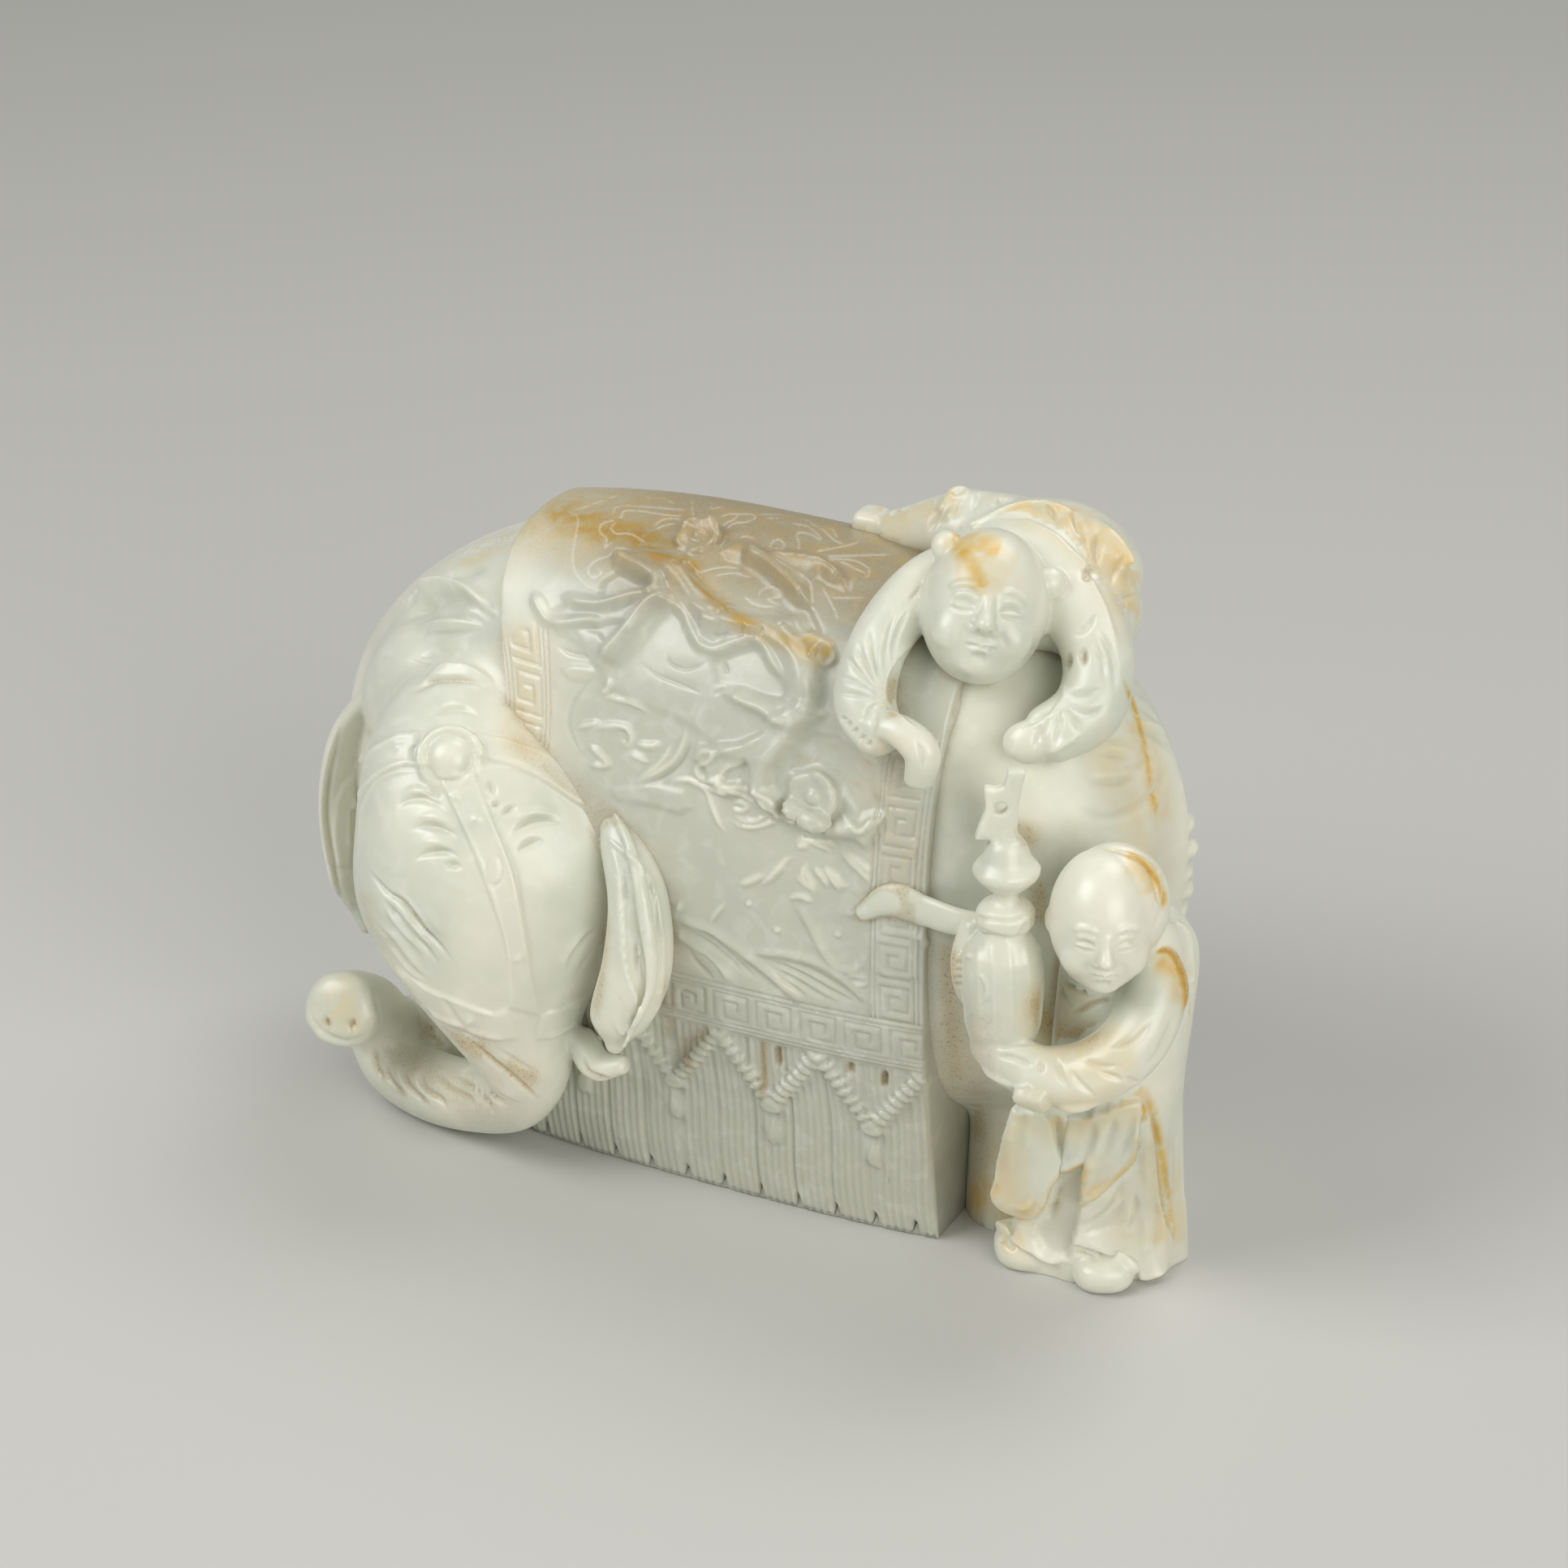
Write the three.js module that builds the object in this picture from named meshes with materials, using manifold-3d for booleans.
// A carved jade group: an elephant under a fringed cloth, its head turned back to the viewer, with one boy
// lying over its rump and another standing at its hind leg with a vase. All of it is one stone, flat below.
// Millimetres, +Z up, X along the elephant with the rump at +X, and the carved show side towards -Y.
import * as THREE from "three";
import { mergeVertices } from "three/addons/utils/BufferGeometryUtils.js";
import Module from "manifold-3d";

const wasm = await Module();
wasm.setup();

// Driving sizes of the elephant's barrel; each end closes in its own superellipse.
const BODY_FRONT = -61;
const BODY_REAR = 62;
const BODY_HALF_WIDTH = 25;
const BODY_MIDDLE_Z = 47;
const BODY_TOP_Z = 89.3;
const BODY_BELLY_Z = 12;
const BODY_POWER = 2.4;
const FRONT_POWER = 2.2;
const REAR_POWER = 3.1;
const BODY_CENTRE_X = (BODY_FRONT + BODY_REAR) / 2;
const BODY_HALF_LENGTH = (BODY_REAR - BODY_FRONT) / 2;

// The cloth over the back, with a hatched border and a fringe that reaches the ground.
const CLOTH_FRONT = -24;
const CLOTH_REAR = 38.6;
const CLOTH_THICKNESS = 1.4;
const FRINGE_THICKNESS = 0.7;
const FRINGE_TOP_Z = 29;
const BORDER_TOP_Z = 35;
const BORDER_WIDTH = 6.5;
const HEM_TUCK = 0.2;
const CLOTH_LEAN = 6;
const CLOTH_LEAN_FROM_Z = 66;
const TASSELS = 11;
const SWAG = 14.7;
const SWAG_LOW_Z = 18;

// The direction that the turned head and both boys look in, as an angle from -Y towards +X.
const LOOK = THREE.MathUtils.degToRad(27);
const ACROSS = new THREE.Vector3(Math.cos(LOOK), Math.sin(LOOK), 0);
const TOWARDS = new THREE.Vector3(Math.sin(LOOK), -Math.cos(LOOK), 0);

const X = new THREE.Vector3(1, 0, 0);
const UP = new THREE.Vector3(0, 0, 1);
const vec = (x, y, z) => new THREE.Vector3(x, y, z);

// A closed skin over rings of equal count, with a centre point closing each end.
function skin(rings) {
  const sides = rings[0].length;
  const points = rings.flat();
  const middle = (ring) => ring.reduce((sum, p) => sum.add(p), vec(0, 0, 0)).divideScalar(sides);
  points.push(middle(rings[0]), middle(rings[rings.length - 1]));
  const first = points.length - 2;
  const last = points.length - 1;
  const faces = [];
  for (let row = 0; row + 1 < rings.length; row++) {
    for (let side = 0; side < sides; side++) {
      const next = (side + 1) % sides;
      const a = row * sides + side;
      const b = row * sides + next;
      faces.push(a, b, a + sides, b, b + sides, a + sides);
    }
  }
  const top = (rings.length - 1) * sides;
  for (let side = 0; side < sides; side++) {
    const next = (side + 1) % sides;
    faces.push(first, next, side, last, top + side, top + next);
  }
  return new THREE.BufferGeometry().setFromPoints(points).setIndex(faces);
}

// A solid of one closed geometry, turned right side out.
function solid(geometry) {
  const bare = geometry.clone();
  ["normal", "uv"].forEach((name) => bare.deleteAttribute(name));
  const merged = mergeVertices(bare, 1e-4);
  const triVerts = new Uint32Array(merged.index.array);
  const vertProperties = new Float32Array(merged.attributes.position.array);
  const made = new wasm.Manifold(new wasm.Mesh({ numProp: 3, vertProperties, triVerts }));
  if (made.volume() > 0) return made;
  for (let i = 0; i < triVerts.length; i += 3) triVerts.subarray(i, i + 2).reverse();
  return new wasm.Manifold(new wasm.Mesh({ numProp: 3, vertProperties, triVerts }));
}

// The value at t between 0 and 1 of a list of numbers, joined by a smooth curve.
function along(values, t) {
  if (typeof values === "number") return values;
  const curve = new THREE.SplineCurve(values.map((v, i) => new THREE.Vector2(i, v)));
  return curve.getPoint(t).y;
}

// A rounded limb on a smooth path. Half its width goes along `side`, and half its thickness across it.
function limb(path, width, thickness = width, options = {}) {
  const { sides = 8, steps = 8, side = null, round = 0.6 } = options;
  const curve = new THREE.CatmullRomCurve3(path.map((p) => vec(...p)));
  const frames = curve.computeFrenetFrames(steps, false);
  const rings = [];
  const ring = (i, shift, shrink) => {
    const t = i / steps;
    const tangent = frames.tangents[i];
    let first = frames.normals[i];
    if (side) first = side.clone().addScaledVector(tangent, -side.dot(tangent)).normalize();
    const second = vec(0, 0, 0).crossVectors(tangent, first);
    const at = curve.getPoint(t).addScaledVector(tangent, shift);
    const w = along(width, t) * shrink;
    const h = along(thickness, t) * shrink;
    return Array.from({ length: sides }, (_, k) => {
      const angle = (2 * Math.PI * k) / sides;
      return at
        .clone()
        .addScaledVector(first, w * Math.cos(angle))
        .addScaledVector(second, h * Math.sin(angle));
    });
  };
  const startCap = round * along(thickness, 0);
  const endCap = round * along(thickness, 1);
  if (round) rings.push(ring(0, -startCap, 0.45));
  for (let i = 0; i <= steps; i++) rings.push(ring(i, 0, 1));
  if (round) rings.push(ring(steps, endCap, 0.45));
  return solid(skin(rings));
}

// A carved line or ridge: a thin limb of few sides, one step longer than its list of points.
const ridge = (path, width = 0.8, thickness = width) =>
  limb(path, width, thickness, { sides: 3, steps: path.length, round: 0.4 });

// An egg: a sphere with its own half sizes along `across`, `towards` and up.
function egg(at, [a, b, c], { sides = 12, rows = 8, across = ACROSS, up = UP } = {}) {
  const towards = vec(0, 0, 0).crossVectors(across, up).normalize();
  const geometry = new THREE.SphereGeometry(1, sides, rows);
  const place = geometry.attributes.position;
  const point = vec(0, 0, 0);
  for (let i = 0; i < place.count; i++) {
    point.fromBufferAttribute(place, i);
    const made = vec(...at)
      .addScaledVector(across, a * point.x)
      .addScaledVector(towards, b * point.z)
      .addScaledVector(up, c * point.y);
    place.setXYZ(i, made.x, made.y, made.z);
  }
  return solid(geometry);
}

// A stack of level ellipses, each { z, x, y, w, d }. w is half the width along ACROSS, d half the depth along
// TOWARDS. folds adds that many vertical pleats, of that depth as a share of the radius.
function stack(levels, { sides = 16, steps = 10, folds = 0, depth = 0, from = 0 } = {}) {
  const read = (key, t) => along(levels.map((level) => level[key]), t);
  const rings = [];
  for (let i = 0; i <= steps; i++) {
    const t = i / steps;
    const pleat = depth * THREE.MathUtils.smoothstep(t, from, 1);
    rings.push(
      Array.from({ length: sides }, (_, k) => {
        const angle = (2 * Math.PI * k) / sides;
        const grow = 1 + pleat * Math.cos(folds * angle);
        return vec(read("x", t), read("y", t), read("z", t))
          .addScaledVector(ACROSS, read("w", t) * grow * Math.cos(angle))
          .addScaledVector(TOWARDS, read("d", t) * grow * Math.sin(angle));
      }),
    );
  }
  return solid(skin(rings));
}

// A point on a stack's face at height z, at an angle from TOWARDS to ACROSS in degrees, raised by lift.
function onStack(levels, z, degrees, lift = 0) {
  const heights = levels.map((level) => level.z);
  let low = 0;
  let high = 1;
  for (let i = 0; i < 30; i++) {
    const middle = (low + high) / 2;
    if (along(heights, middle) > z) low = middle;
    else high = middle;
  }
  const read = (key) => along(levels.map((level) => level[key]), low);
  const angle = THREE.MathUtils.degToRad(degrees);
  return vec(read("x"), read("y"), z)
    .addScaledVector(ACROSS, (read("w") + lift) * Math.sin(angle))
    .addScaledVector(TOWARDS, (read("d") + lift) * Math.cos(angle))
    .toArray();
}

const union = (parts) => parts.reduce((whole, part) => whole.add(part));

// How full the barrel is at x: 1 at its middle and 0 at either end.
function fullness(x) {
  const power = x < BODY_CENTRE_X ? FRONT_POWER : REAR_POWER;
  const share = Math.min(1, Math.abs((x - BODY_CENTRE_X) / BODY_HALF_LENGTH));
  return (1 - share ** power) ** (1 / power);
}

// Half the width of the draped side at height z, for a body swollen by `extra`.
function drapeHalfWidth(x, z, extra) {
  const half = BODY_HALF_WIDTH * fullness(x) + extra;
  const rise = (BODY_TOP_Z - BODY_MIDDLE_Z) * fullness(x) + extra;
  const t = (z - BODY_MIDDLE_Z) / rise;
  if (t >= 1) return 0;
  if (t > 0) return half * (1 - t ** BODY_POWER) ** (1 / BODY_POWER);
  return half * (1 - HEM_TUCK * ((z - BODY_MIDDLE_Z) / BODY_MIDDLE_Z) ** 2);
}

// A point on the cloth's face; flank is -1 on the show side and 1 on the far side.
function onCloth(x, z, lift = 0, flank = -1) {
  return [x, flank * (drapeHalfWidth(x, z, CLOTH_THICKNESS) + lift), z];
}

// A superellipse's cosine and sine at an angle.
function squircle(angle) {
  const bend = (v) => Math.sign(v) * Math.abs(v) ** (2 / BODY_POWER);
  return [bend(Math.cos(angle)), bend(Math.sin(angle))];
}

// The barrel: rings across X of a rounded section that is full above and flatter below.
function barrel() {
  const rows = 18;
  const sides = 20;
  const rings = [];
  for (let i = 1; i < rows; i++) {
    const x = BODY_CENTRE_X - BODY_HALF_LENGTH * Math.cos((Math.PI * i) / rows);
    const full = fullness(x);
    rings.push(
      Array.from({ length: sides }, (_, k) => {
        const [c, s] = squircle((2 * Math.PI * k) / sides);
        const reach = s > 0 ? BODY_TOP_Z - BODY_MIDDLE_Z : BODY_MIDDLE_Z - BODY_BELLY_Z;
        return vec(x, BODY_HALF_WIDTH * full * c, BODY_MIDDLE_Z + reach * full * s);
      }),
    );
  }
  return solid(skin(rings));
}

// The cloth: an arch from hem to hem over the back, thinner at the fringe, closed across the ground.
// Its front edge leans forward as it climbs.
function cloth() {
  const columns = 9;
  const levels = [-2, FRINGE_TOP_Z - 0.4, FRINGE_TOP_Z, BODY_MIDDLE_Z - 8, BODY_MIDDLE_Z];
  const archSteps = 14;
  const rings = [];
  for (let i = 0; i <= columns; i++) {
    const x = THREE.MathUtils.lerp(CLOTH_FRONT, CLOTH_REAR, i / columns);
    const near = levels.map((z) => {
      const extra = z < FRINGE_TOP_Z ? FRINGE_THICKNESS : CLOTH_THICKNESS;
      return vec(x, -drapeHalfWidth(x, z, extra), z);
    });
    const arch = [];
    const half = drapeHalfWidth(x, BODY_MIDDLE_Z, CLOTH_THICKNESS);
    const rise = (BODY_TOP_Z - BODY_MIDDLE_Z) * fullness(x) + CLOTH_THICKNESS;
    for (let k = 1; k < archSteps; k++) {
      const [c, s] = squircle(Math.PI * (1 - k / archSteps));
      const z = BODY_MIDDLE_Z + rise * s;
      const climb = THREE.MathUtils.smoothstep(z, CLOTH_LEAN_FROM_Z, BODY_TOP_Z);
      const lean = CLOTH_LEAN * climb * (1 - i / columns) ** 3;
      arch.push(vec(x - lean, half * c, z));
    }
    const far = near.map((p) => vec(p.x, -p.y, p.z)).reverse();
    rings.push([...near, ...arch, ...far]);
  }
  return solid(skin(rings));
}

// The four legs, as short columns that swell at the foot, each under its own shoulder or haunch.
const FEET = [
  [-40, -7],
  [-40, 10.5],
  [46.5, -4.5],
  [47.5, 10.5],
];
const HAUNCHES = [
  [[-40, -7, 40], [14, 12, 19]],
  [[-40, 9, 40], [14, 12, 19]],
  [[46, -7, 39], [13.5, 12.5, 22]],
  [[46.5, 8.5, 39], [14, 12.5, 22]],
];

function legs() {
  const columns = FEET.map(([x, y]) => {
    const path = [[x, y, 44], [x, y, 18], [x, y, -3]];
    return limb(path, [8, 8.8, 9.6], [7, 8.2, 8.8], { sides: 12, steps: 3, side: ACROSS });
  });
  const haunches = HAUNCHES.map(([at, size]) => egg(at, size, { sides: 12, rows: 8, across: X }));
  return union([...columns, ...haunches]);
}

// The face and brow, as level ellipses from the crown down to the root of the trunk.
const FACE = [
  { z: 72, x: -31, y: -14.5, w: 3, d: 3 },
  { z: 67, x: -30, y: -18, w: 12, d: 9 },
  { z: 60, x: -27.2, y: -21.5, w: 17.2, d: 12.5 },
  { z: 51, x: -24.8, y: -24.4, w: 19.3, d: 14.5 },
  { z: 42, x: -24.7, y: -25.8, w: 19.1, d: 15 },
  { z: 34, x: -24.3, y: -26.3, w: 16.3, d: 14 },
  { z: 26, x: -22.8, y: -27.2, w: 11.4, d: 11.3 },
  { z: 19, x: -20.5, y: -27.8, w: 7.6, d: 8 },
  { z: 13, x: -19.5, y: -27, w: 5, d: 5.2 },
];

const onFace = (z, degrees, lift = 0) => onStack(FACE, z, degrees, lift);

// The straps over the face, the boss where they meet, the eyes and the brow's creases.
function headstall() {
  const strap = (places, width, height) => {
    const path = places.map(([z, degrees]) => onFace(z, degrees));
    return limb(path, width, height, { sides: 6, steps: 5, side: ACROSS });
  };
  const bossProfile = [
    [0, -2],
    [4.1, -2],
    [4.3, 0.4],
    [3.5, 1.2],
    [2.6, 0.7],
    [2.3, 1.5],
    [0, 2.2],
  ];
  const boss = new THREE.LatheGeometry(bossProfile.map((p) => new THREE.Vector2(...p)), 12);
  const facing = vec(0.3, -0.78, 0.55).normalize();
  boss.applyQuaternion(new THREE.Quaternion().setFromUnitVectors(vec(0, 1, 0), facing));
  boss.translate(...onFace(63.5, -17));
  const eyes = [-1, 1].map((side) => {
    const path = [onFace(47, side * 58), onFace(42.5, side * 48, 0.2), onFace(37, side * 36)];
    return limb(path, [0.5, 1.5, 0.5], [0.6, 1.4, 0.6], { sides: 5, steps: 4, side: ACROSS });
  });
  const crease = (z, side) =>
    ridge([onFace(z, side * 12), onFace(z + 0.8, side * 21, 0.2), onFace(z - 0.4, side * 31, -0.3)]);
  const creases = [56.5, 53.3, 50.1].flatMap((z) => [crease(z, -1), crease(z, 1)]);
  return union([
    strap([[61, -16], [52, -7], [42, 1], [32, 9]], 2.2, 0.9),
    strap([[62, -24], [60.5, -46], [53, -66], [44, -76]], 1, 1.7),
    strap([[62, -8], [61, 14], [58.5, 38], [53, 60]], 1, 1.7),
    strap([[38.5, -62], [34.5, -36], [31.8, -10], [31.2, 8]], 1, 1.7),
    strap([[31.2, 8], [31.8, 26], [33.5, 44]], 1, 1.5),
    solid(boss),
    ...eyes,
    ...creases,
  ]);
}

// The trunk leaves the foot of the face, runs back along the ground, and turns its tip up to the viewer.
const TRUNK_PATH = [
  [-20, -29, 25],
  [-18.3, -29.2, 18.5],
  [-21.5, -27.2, 11.5],
  [-29, -24, 7],
  [-38.2, -22, 5.2],
  [-46.4, -19.4, 6],
  [-49, -19, 12],
  [-47.6, -25.6, 17.5],
  [-46.2, -33, 21],
];
const TRUNK_RADII = [8, 6.2, 5.4, 5.2, 5.2, 4.9, 5, 5.2, 5.7];

function trunk() {
  const tube = limb(TRUNK_PATH, TRUNK_RADII, TRUNK_RADII, { sides: 10, steps: 20, round: 0.2 });
  const wrinkles = [0, 1, 2, 3, 4].map((k) => {
    const x = -29 - 3.8 * k;
    const y = -24 + 0.8 * k;
    const top = [x + 0.6, y - 1.4, 12.2 - 0.6 * k];
    return ridge([top, [x - 0.8, y - 4.7, 8.4 - 0.4 * k], [x + 0.8, y - 4.6, 4]]);
  });
  return union([tube, ...wrinkles]);
}

// Each ear is a leaf that hangs from the brow, thick enough behind to stay joined to what it lies on.
function ears() {
  const near = limb(
    [
      [-8.4, -22.6, 57.4],
      [-4.6, -25.6, 53.6],
      [-1.2, -28.4, 47],
      [-0.6, -30.2, 38],
      [-2.8, -31.4, 30],
      [-3.2, -31.8, 26.5],
    ],
    [1.8, 3.4, 4.1, 4.7, 4, 1.4],
    [1.8, 2.8, 3.4, 3.8, 3.4, 2],
    { sides: 8, steps: 7, side: ACROSS },
  );
  const edge = [
    [-7.6, -24.4, 58.8],
    [-1.8, -28.8, 54.4],
    [2.1, -32.4, 47],
    [3.5, -33.8, 38],
    [-0.4, -34.6, 28],
  ];
  const rim = ridge(edge, 0.9, 1.1);
  const far = limb(
    [[-49, -14, 62], [-54.8, -9, 53], [-57, -8, 41.5], [-55.8, -10.5, 29.5], [-53, -13, 22.5]],
    [3, 7, 8, 6, 2],
    [1.8, 2.4, 2.4, 2, 1.2],
    { sides: 8, steps: 6, side: vec(0.25, 0.97, 0) },
  );
  const lip = limb([[-12, -26, 22], [-8.5, -27.5, 19.5], [-4.5, -27.5, 20.5]], [3.6, 2.8, 1.4], [2, 2, 1.3], {
    sides: 6,
    steps: 3,
    side: TOWARDS,
  });
  return union([near, rim, far, lip]);
}

// The neck that turns the head, and its long soft wrinkles.
function neck() {
  const mass = egg([-38, -8, 60], [15.5, 13, 14], { sides: 14, rows: 9 });
  const crease = (x0, x1, z, bow, y) =>
    ridge([[x0, y + 3, z - bow], [(x0 + x1) / 2, y, z], [x1, y - 1, z - bow / 2]], 1, 1.2);
  return union([
    mass,
    crease(-49, -31, 76, 8, -10.5),
    crease(-47.5, -30, 72.5, 5, -14.5),
    crease(-46.5, -29, 67.5, 5, -18),
    crease(-46, -32, 80, 7, -5.5),
  ]);
}

// The sawn lines between the fringe's tassels and along the border's inner edge, to be cut from one flank.
function clothLines(flank) {
  const pitch = (CLOTH_REAR - CLOTH_FRONT) / TASSELS;
  const cuts = [];
  for (let k = 1; k < TASSELS; k++) {
    const x = CLOTH_FRONT + k * pitch;
    const face = (z, lift) => onCloth(x, z, FRINGE_THICKNESS - CLOTH_THICKNESS + lift, flank);
    const path = [face(-3, 0.1), face(1, 0.1), face(17, 0.5)];
    cuts.push(limb(path, 0.55, 0.7, { sides: 3, steps: 1, round: 0 }));
  }
  const line = (places) => {
    const path = places.map(([x, z]) => onCloth(x, z, 0.15, flank));
    return limb(path, 0.4, 0.5, { sides: 3, steps: places.length, round: 0 });
  };
  const rear = CLOTH_REAR - BORDER_WIDTH;
  const front = CLOTH_FRONT + BORDER_WIDTH;
  cuts.push(line([[front, BORDER_TOP_Z], [rear, BORDER_TOP_Z]]));
  cuts.push(line([[rear, BORDER_TOP_Z], [rear, 50], [rear, 64], [rear, 76]]));
  cuts.push(line([[front, BORDER_TOP_Z], [front, 50], [front, 64], [front, 76]]));
  return union(cuts);
}

// Beaded cords that hang in swags over the fringe of the show side, with a drop at each low point.
function swags() {
  const beads = [];
  for (let x = CLOTH_REAR - 0.5; x - SWAG > CLOTH_FRONT; x -= SWAG) {
    const at = (px, z) => onCloth(px, z, -0.4);
    const high = FRINGE_TOP_Z - 1;
    const low = x - SWAG / 2;
    beads.push(limb([at(x, high), at(low, SWAG_LOW_Z), at(x - SWAG, high)], 1, 1, { sides: 4, steps: 4 }));
    beads.push(egg(at(low, SWAG_LOW_Z - 4), [1.3, 0.9, 2.6], { sides: 6, rows: 5 }));
  }
  return union(beads);
}

// A five-petalled blossom facing away from the cloth at a place on it.
function blossom(x, z, radius) {
  const at = vec(...onCloth(x, z, 0.6));
  const out = vec(0, -1, z > 75 ? 1.2 : 0.25).normalize();
  const second = vec(0, 0, 0).crossVectors(out, X).normalize();
  const profile = [
    [0.75, -2.6],
    [1, 0.1],
    [0.7, 1.1],
    [0.25, 0.6],
  ];
  const rings = profile.map(([share, lift]) =>
    Array.from({ length: 10 }, (_, k) => {
      const angle = (2 * Math.PI * k) / 10;
      const reach = radius * share * (1 + 0.14 * Math.cos(5 * angle));
      return at
        .clone()
        .addScaledVector(X, reach * Math.cos(angle))
        .addScaledVector(second, reach * Math.sin(angle))
        .addScaledVector(out, lift);
    }),
  );
  return solid(skin(rings));
}

// Stems of the flowering branch, each as its radius and its places [x, z] on the cloth.
const STEMS = [
  [1.5, [[33, 62], [27, 63.6], [21.5, 64], [16, 66.4], [15.2, 69.8], [19, 72.5], [19.6, 75.5], [18.6, 79]]],
  [1.9, [[18.6, 79], [16, 81.3], [12.5, 82.2], [6, 82.7], [1.5, 84.4], [-2, 86], [-5, 87]]],
  [1.1, [[29.6, 63], [31, 60.4]]],
  [1.1, [[19.2, 76.4], [14.5, 77], [10, 79]]],
  [1.1, [[15.5, 68.5], [11, 69.5], [8, 68.2]]],
  [1.2, [[0.5, 85], [-6, 84.2], [-11.8, 82.7], [-17.5, 82]]],
  [1.3, [[-3.5, 84.6], [-7, 81.2], [-9.6, 78]]],
  [1.1, [[-4, 87], [-8.5, 87], [-12.5, 85.6]]],
  [1.3, [[-3, 87.3], [3.5, 89], [9, 88.6], [15, 88.2], [19.5, 87.2]]],
  [1, [[9, 88.6], [12, 86.8], [15.5, 85.6]]],
  [1.3, [[15, 82], [19, 83.4], [21, 81.6]]],
];
const BLOSSOMS = [
  [-3.4, 90.2, 2.9],
  [5.8, 82.2, 2.8],
  [23, 66.6, 3.3],
  [14.2, 84, 2.3],
  [19.6, 82, 2.2],
];

// The flowering branch that trails from the boy's sleeve over the cloth, in high relief.
function branch() {
  const stems = STEMS.map(([radius, places]) => {
    const path = places.map(([x, z]) => onCloth(x, z, 0.5));
    return limb(path, radius, radius, { sides: 4, steps: 2 * (places.length - 1) });
  });
  return union([...stems, ...BLOSSOMS.map(([x, z, radius]) => blossom(x, z, radius))]);
}

// Low relief on the cloth's side, each motif as its half thickness and its places [x, z]: a scroll of cloud,
// a curled stem, layered rocks along the foot, and the ragged edge of the raised upper ground.
const RELIEF = [
  [0.9, [[-12, 77.5], [-8.5, 72.5], [-3.5, 69], [4, 66.5], [9, 63.8]]],
  [0.8, [[-13.5, 66], [-11, 69.5], [-6.5, 69], [-5.5, 64.5], [-9, 62], [-11.5, 64.5]]],
  [0.7, [[13, 57.5], [19, 56.2], [23.8, 52.8], [25.6, 48], [28.8, 45.4], [31, 47.6]]],
  [0.8, [[-4, 44.6], [3, 42.6], [6, 38.6]]],
  [0.8, [[1, 45.6], [8, 43.4], [15, 37.2]]],
  [0.8, [[8.4, 43.8], [20, 42.2], [26.5, 38.8]]],
];

function relief() {
  return union(RELIEF.map(([size, places]) => ridge(places.map(([x, z]) => onCloth(x, z)), size)));
}

// A child's head with a plain round face: nose, lips, lids, ears and small tufts of hair.
// `up` and `face` are the head's own axes, and every place is a share of its half sizes.
function childHead(at, [a, b, c], up, face, tufts) {
  const right = vec(0, 0, 0).crossVectors(up, face).normalize();
  const front = vec(0, 0, 0).crossVectors(right, up).normalize();
  const put = (across, forward, high) =>
    vec(...at)
      .addScaledVector(right, a * across)
      .addScaledVector(front, b * forward)
      .addScaledVector(up, c * high);
  const lump = (across, forward, high, size, sides = 6, rows = 4) =>
    egg(put(across, forward, high).toArray(), size, { sides, rows, across: right, up });
  return union([
    lump(0, 0, 0, [a, b, c], 12, 8),
    lump(0, 0.12, -0.32, [a * 0.86, b * 0.82, c * 0.68], 10, 6),
    lump(0, 0.95, -0.2, [a * 0.14, b * 0.14, c * 0.18]),
    lump(0, 0.86, -0.5, [a * 0.26, b * 0.12, c * 0.06]),
    ...[-1, 1].flatMap((side) => [
      lump(side * 0.38, 0.82, -0.06, [a * 0.2, b * 0.12, c * 0.06]),
      lump(side * 0.92, -0.14, -0.1, [a * 0.13, b * 0.2, c * 0.2]),
    ]),
    ...tufts.map(([across, forward, high, size]) => lump(across, forward, high, [size, size, size])),
  ]);
}

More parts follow.
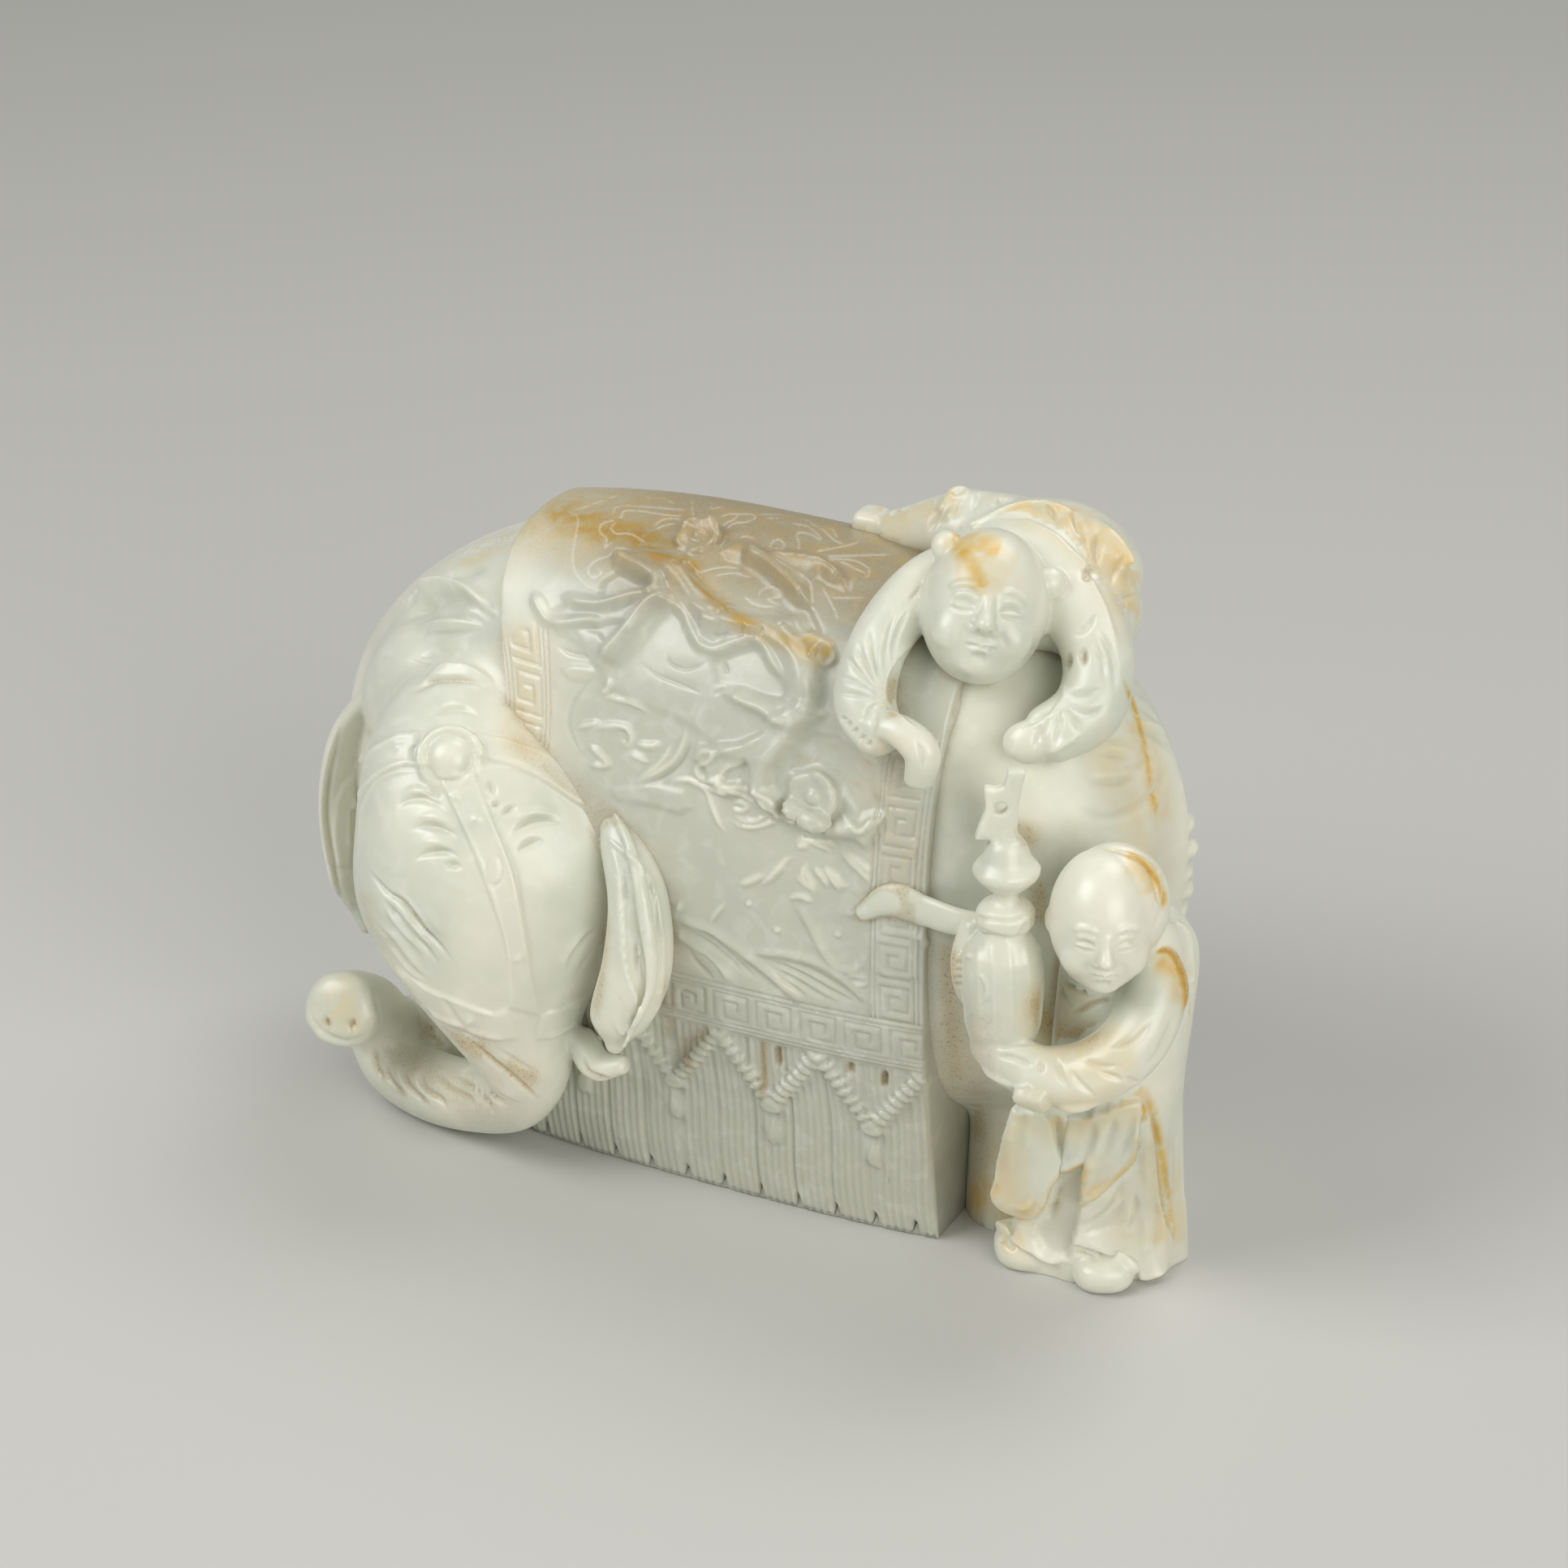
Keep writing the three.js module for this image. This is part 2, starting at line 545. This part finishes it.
// The boy who lies over the rump. The arms hang down the flank, and the body lies behind the head.
function climbingBoy() {
  const headUp = vec(-0.03, 0.43, 0.9).normalize();
  const headFace = vec(0.42, -0.8, 0.43).normalize();
  const head = childHead([40.2, -11, 91.5], [8.2, 8.5, 10.1], headUp, headFace, [
    [-0.74, 0.1, 0.66, 2.1],
    [0.93, 0.12, 0.42, 2.2],
  ]);
  const leftArm = limb(
    [[36, -3, 92.5], [31.4, -9.5, 91.6], [28.6, -17.5, 86.6], [29, -22.6, 80.4], [33, -25.2, 77]],
    [4.6, 4.2, 3.9, 4.1, 3.4],
    [4.6, 4.4, 4, 3.8, 2.6],
    { sides: 8, steps: 8, side: ACROSS },
  );
  const cuff = limb(
    [[31.6, -25, 79], [36, -26, 79.2], [38.9, -26.4, 77.2], [38.6, -26.4, 73]],
    [2.5, 2.3, 2.4, 2],
    [2, 1.9, 1.8, 1.4],
    { sides: 6, steps: 5, side: ACROSS },
  );
  const rightArm = limb(
    [[45, -3, 92], [50.2, -3.8, 90], [54.2, -6.4, 85], [54.9, -11, 80], [51.2, -15.4, 77.4]],
    [5, 5, 4.7, 4.6, 4],
    [4.6, 4.6, 4.4, 4.2, 3.4],
    { sides: 8, steps: 8, side: ACROSS },
  );
  const hand = egg([49.6, -16.8, 76.8], [3.6, 2.6, 2.9], { sides: 8, rows: 5 });
  const jacket = egg([42, 4, 90.2], [12.8, 12.6, 9.5], { sides: 12, rows: 8, across: X });
  const knee = egg([49.8, 1, 87.6], [6.7, 6.6, 7], { sides: 10, rows: 6 });
  const trouser = limb([[36, 8, 92.6], [28.5, 7.5, 93], [18.5, 8, 90]], [6.5, 5.4, 3.2], [5.4, 4.6, 3], {
    sides: 8,
    steps: 4,
    side: vec(0, 1, 0),
  });
  const shoe = egg([14.8, 8.8, 89.6], [2.7, 2.8, 2.7], { sides: 8, rows: 5, across: X });
  const farPath = [[40, 8, 90], [40, 16, 86], [39, 23, 77]];
  const farLeg = limb(farPath, [5.4, 4.6, 3.4], [5.2, 4.4, 3], { sides: 8, steps: 4 });
  const farShoe = egg([38.5, 24.6, 73], [3, 2.4, 3.6], { sides: 8, rows: 5, across: X });
  return union([
    head,
    leftArm,
    cuff,
    rightArm,
    hand,
    jacket,
    knee,
    trouser,
    shoe,
    farLeg,
    farShoe,
    ridge([[33, 0, 97], [38.5, 3, 99.2], [44, 5, 99], [50, 4, 96]], 1.1),
    ridge([[34, 2, 97.6], [31.5, 6, 98.2], [32, 11, 95.6]], 1),
    ridge([[30, 1.5, 96], [27.5, 6, 97.2], [28.5, 11, 94.4]], 1),
    ridge([[27, -13.8, 90.6], [25.2, -18.2, 86.6], [25.6, -22, 81.4]], 0.8),
    ridge([[25.8, -21.6, 81.4], [28, -25.6, 81.2], [32.4, -26.4, 80.6]], 0.8),
    ridge([[47.5, 6, 97.2], [51.5, 4, 96.6], [54.9, 2.6, 95]], 1.4),
    ridge([[56.2, -6, 89], [57.9, -8.4, 84], [57.4, -12.6, 79.4]], 0.8),
  ]);
}

// The tunic and trousers of the standing boy, as level ellipses from the shoulders to the ground.
const TUNIC = [
  { z: 55, x: 63.5, y: -13, w: 4.5, d: 4.5 },
  { z: 50, x: 63.6, y: -14.5, w: 8.6, d: 6.6 },
  { z: 40, x: 63.2, y: -15.5, w: 9, d: 7.6 },
  { z: 30, x: 62.4, y: -15.5, w: 8.9, d: 7.4 },
  { z: 20, x: 61.2, y: -14.8, w: 9.8, d: 7.6 },
  { z: 11, x: 60.2, y: -14, w: 10.8, d: 6.9 },
];
const TROUSERS = [
  { z: 16, x: 60.6, y: -14, w: 9.9, d: 6.6 },
  { z: 9, x: 60, y: -13.4, w: 11.2, d: 6.8 },
  { z: -1, x: 59.4, y: -12.4, w: 11.8, d: 6.5 },
];

function standingBoy() {
  const head = childHead([63.9, -25.5, 59.4], [6.9, 7.9, 9.1], UP, TOWARDS, []);
  const hair = egg([64.7, -23.4, 60.5], [7, 7.2, 7.9], { sides: 12, rows: 7 });
  const tunic = stack(TUNIC, { sides: 21, steps: 5, folds: 7, depth: 0.08, from: 0.35 });
  const trousers = stack(TROUSERS, { sides: 21, steps: 3, folds: 7, depth: 0.09 });
  const sleeve = limb(
    [[66.6, -16.5, 52.4], [69.4, -20.6, 47.6], [68.4, -25.6, 42], [63.4, -28.8, 37.9], [57, -31, 37.2]],
    [4, 4.3, 4.4, 4.2, 3.8],
    [4.4, 4.8, 4.8, 4.5, 3.8],
    { sides: 8, steps: 8, side: ACROSS },
  );
  const cuff = limb([[58.5, -31, 38], [54, -31.2, 39], [49.8, -30.6, 41]], [3.6, 4, 3.2], [2.6, 2.6, 1.6], {
    sides: 6,
    steps: 3,
    side: UP,
  });
  const holding = limb(
    [[46.4, -26.4, 54.4], [46, -28.2, 50], [47, -28.2, 45.5], [49.4, -26.4, 43.5]],
    2.1,
    1.6,
    { sides: 6, steps: 4, side: TOWARDS },
  );
  const sash = limb(
    [[56.4, -23.6, 31], [55.2, -23.2, 22], [54, -22.6, 13.8]],
    [3.6, 4.5, 4.7],
    1.4,
    { sides: 6, steps: 4, side: ACROSS },
  );
  const shoes = [
    [51, -17],
    [62.4, -17.4],
  ].map(([x, y]) => egg([x, y, 2.2], [4.3, 4.8, 2.7], { sides: 10, rows: 6 }));
  const creases = [-16, 6, 26].map((degrees, k) => {
    const top = onStack(TUNIC, 33, degrees - 4, -0.2);
    const foot = onStack(TUNIC, 12 + k, degrees + 6, 0.5);
    return ridge([top, onStack(TUNIC, 23, degrees, 0.3), foot]);
  });
  const sleeveFolds = [0, 1, 2, 3].map((k) => {
    const x = 58.6 + 3 * k;
    const top = [x, -33 + 0.9 * k, 41 + 0.5 * k];
    return ridge([top, [x + 1, -34.4 + 1.2 * k, 38.4], [x + 2, -33 + k, 35.4 + 0.6 * k]]);
  });
  const dress = [tunic, trousers, sleeve, cuff, sash, ...creases, ...sleeveFolds];
  return union([head, hair, holding, ...shoes, ...dress]);
}

// The vase with its collar and stopper, the halberd that stands in it, and the ribbon that flies from it.
const VASE = [51.8, -28.3, 39.6];
const VASE_PROFILE = [
  [0, 0],
  [3.4, 0],
  [4.6, 2],
  [5.1, 6],
  [5.1, 11],
  [4.6, 14],
  [3, 16],
  [3.8, 17.8],
  [3.8, 19.4],
  [2, 20.4],
  [1.8, 21.6],
  [4.6, 24],
  [4.8, 25.4],
  [2.2, 29.1],
  [0, 29.5],
];

function vase() {
  const pot = new THREE.LatheGeometry(VASE_PROFILE.map((p) => new THREE.Vector2(...p)), 12);
  pot.rotateX(Math.PI / 2).translate(...VASE);
  const blade = new THREE.Shape([
    new THREE.Vector2(-2.2, -1),
    new THREE.Vector2(-2.8, 1.6),
    new THREE.Vector2(-1.4, 4),
    new THREE.Vector2(-2, 8.4),
    new THREE.Vector2(0.6, 8.4),
    new THREE.Vector2(0.6, 10.6),
    new THREE.Vector2(2.2, 10.6),
    new THREE.Vector2(1.8, -1),
  ]);
  const plate = new THREE.ExtrudeGeometry(blade, { depth: 2, bevelEnabled: false });
  const eye = new THREE.CylinderGeometry(0.7, 0.7, 6, 8).rotateX(Math.PI / 2).translate(-0.3, 5.4, 1);
  [plate, eye].forEach((shape) =>
    shape.translate(0, 0, -1).rotateX(Math.PI / 2).rotateZ(LOOK).translate(VASE[0], VASE[1], VASE[2] + 27.1),
  );
  const bridgePath = [[51.4, -26.6, 69.4], [50.8, -22, 68.6], [50, -17, 66.8]];
  const bridge = limb(bridgePath, 1.5, 1.3, { sides: 5, steps: 2 });
  const ribbon = limb(
    [[50.4, -27.6, 56.4], [44, -25.6, 53.8], [38.6, -24.6, 53.6], [34.6, -25.2, 54.4], [30, -25.4, 51.4]],
    [1, 2, 2.3, 2.5, 1.2],
    [1, 1, 1, 1, 0.8],
    { sides: 5, steps: 6, side: UP },
  );
  return union([solid(pot), solid(plate).subtract(solid(eye)), bridge, ribbon]);
}

// The tail hangs down the rump and ends in a braided tuft.
function tail() {
  const cord = limb([[57, 4, 72], [60.8, 5, 62], [61.6, 5.4, 52], [60.4, 5.6, 42]], [2.6, 2, 1.8, 2.6], 1.8, {
    sides: 6,
    steps: 5,
  });
  const tuft = limb([[60.6, 5.6, 44], [59.2, 6, 35], [56.6, 6.4, 28]], [2.4, 3, 0.8], [2, 2.4, 0.7], {
    sides: 6,
    steps: 3,
  });
  return union([cord, tuft]);
}

// Long soft creases over the hindquarter.
function rumpCreases() {
  return union([
    ridge([[48, -17.4, 66.2], [54, -13, 64.8], [58.6, -6.6, 66.6]], 1),
    ridge([[48.6, -16.6, 70], [54, -12, 69], [58, -5.6, 70.6]], 1),
    ridge([[50, -14, 73.6], [54, -10, 73], [57, -4, 73.6]], 1),
  ]);
}

const draped = union([barrel(), cloth(), legs()]).subtract(clothLines(-1)).subtract(clothLines(1));
const floorBlock = solid(new THREE.BoxGeometry(300, 300, 40).translate(0, 0, -20));
const SMOOTHING = 0.25;
const stone = union([
  draped,
  swags(),
  neck(),
  stack(FACE, { sides: 16, steps: 11 }),
  headstall(),
  trunk(),
  ears(),
  branch(),
  relief(),
  climbingBoy(),
  standingBoy(),
  vase(),
  tail(),
  rumpCreases(),
])
  .subtract(floorBlock)
  .asOriginal()
  .simplify(SMOOTHING);

// The origin is on the ground under the middle of the whole group.
const { min, max } = stone.boundingBox();
const centred = stone.translate([-(min[0] + max[0]) / 2, -(min[1] + max[1]) / 2, -min[2]]);
const mesh = centred.getMesh();
const geometry = new THREE.BufferGeometry()
  .setAttribute("position", new THREE.BufferAttribute(mesh.vertProperties, 3))
  .setIndex(new THREE.BufferAttribute(mesh.triVerts, 1));
const jade = new THREE.Mesh(geometry, new THREE.MeshStandardMaterial({ color: 0xd9dccb, roughness: 0.25 }));
jade.name = "jade_group";

const group = new THREE.Group();
group.add(jade);
export default group;
